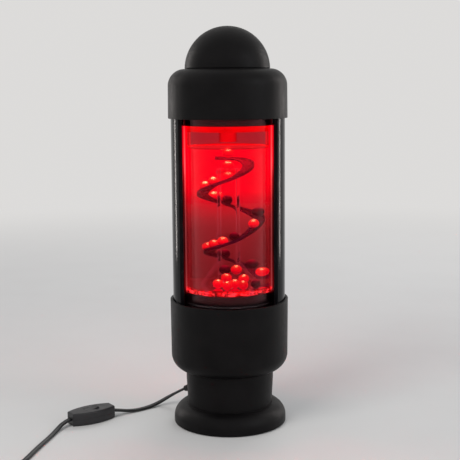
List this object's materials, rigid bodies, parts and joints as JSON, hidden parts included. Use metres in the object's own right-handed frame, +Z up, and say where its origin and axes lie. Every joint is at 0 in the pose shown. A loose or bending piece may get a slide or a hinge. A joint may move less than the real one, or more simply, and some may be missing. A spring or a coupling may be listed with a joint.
{
  "type": "liquid motion lamp",
  "caption": "Table lamp with a sealed liquid tank in which a pump lifts beads up a clear riser and they roll down a spiral ramp under red light from the lid.",
  "frame": {"origin": "centre of the foot on the surface that it stands on", "axes": "+Z up along the tank, -Y towards the front, the cord leaves at the back left (-X, +Y)"},
  "size_m": [0.2667, 0.2947, 0.4047],
  "materials": {
    "black_shell": "satin black, faint moulded grain",
    "black_gloss": "gloss black",
    "black_seat": "satin black",
    "clear_acrylic": "clear and polished",
    "liquid": "clear liquid in red light",
    "ramp_plastic": "smoky violet, see-through",
    "bead_bright": "bright polished",
    "bead_dark": "dark polished",
    "pump_plastic": "natural white",
    "magnet": "plated dark grey",
    "steel": "zinc plated",
    "motor_steel": "brushed",
    "cast_ballast": "as cast",
    "rubber": "matte",
    "board": "green lacquer",
    "components": "moulded",
    "lead_cover": "satin",
    "cord_cover": "satin black",
    "switch_plastic": "satin black",
    "brass": "satin"
  },
  "bodies": {
    "lamp": {"foot_shell": "black_shell", "base_plate": "steel", "foot_pad_ring": "rubber", "foot_screws": "steel", "ballast_ring": "cast_ballast", "base_collar": "black_shell", "tank_seat": "black_seat", "seat_screws": "steel", "tank_seals": "rubber", "floor_disc": "clear_acrylic", "tank_tube": "clear_acrylic", "riser_tube": "clear_acrylic", "bead_guide": "clear_acrylic", "jet_nozzle": "pump_plastic", "spiral_ramp": "ramp_plastic", "ramp_brackets": "clear_acrylic", "beads_bright": "bead_bright", "beads_dark": "bead_dark", "liquid": "liquid", "impeller_pin": "steel", "motor_can": "motor_steel", "motor_end_cap": "pump_plastic", "motor_bracket": "motor_steel", "motor_screws": "steel", "supply_board": "board", "board_components": "components", "terminal_block": "pump_plastic", "supply_lead": "lead_cover", "hook_up_leads": "lead_cover", "lamp_lead": "lead_cover", "side_strut_left": "black_gloss", "side_strut_right": "black_gloss", "strut_screws": "steel", "tank_lid": "black_seat", "light_guide": "clear_acrylic", "lamp_board": "board", "lamp_diodes": "components", "top_collar": "black_shell", "lid_screws": "steel", "cord_gland": "cord_cover", "strain_relief": "cord_cover", "cord_lamp_side": "cord_cover", "switch_base": "switch_plastic", "switch_cover": "switch_plastic", "switch_screws": "steel", "switch_contacts": "brass", "cord_plug_side": "cord_cover", "cord_coil": "cord_cover", "cord_tail": "cord_cover", "plug_body": "switch_plastic", "plug_blades": "brass"},
    "cap": {"dome_cap": "black_shell"},
    "stopper": {"filling_plug": "rubber"},
    "rotor": {"motor_armature": "motor_steel", "motor_shaft": "steel", "drive_magnet": "magnet", "impeller": "pump_plastic", "impeller_magnet": "magnet"},
    "rocker": {"switch_rocker": "switch_plastic"},
    "bead_column": {"beads_lifted": "bead_bright"}
  },
  "joints": [
    {"name": "cap_lift", "type": "slide", "parent": "lamp", "child": "cap", "axis": [0, 0, 1], "range_m": [0, 0.05]},
    {"name": "stopper_lift", "type": "slide", "parent": "lamp", "child": "stopper", "axis": [0, 0, 1], "range_m": [0, 0.045]},
    {"name": "motor_spin", "type": "hinge", "parent": "lamp", "child": "rotor", "pos_m": [0, 0, 0.11], "axis": [0, 0, 1], "continuous": true},
    {"name": "switch_press", "type": "hinge", "parent": "lamp", "child": "rocker", "pos_m": [-0.145, -0.003, 0.01], "axis": [0.5807, -0.8141, 0], "range_deg": [-16, 0]},
    {"name": "bead_lift", "type": "slide", "parent": "lamp", "child": "bead_column", "axis": [0, 0, 1], "range_m": [-0.1, 0]}
  ]
}
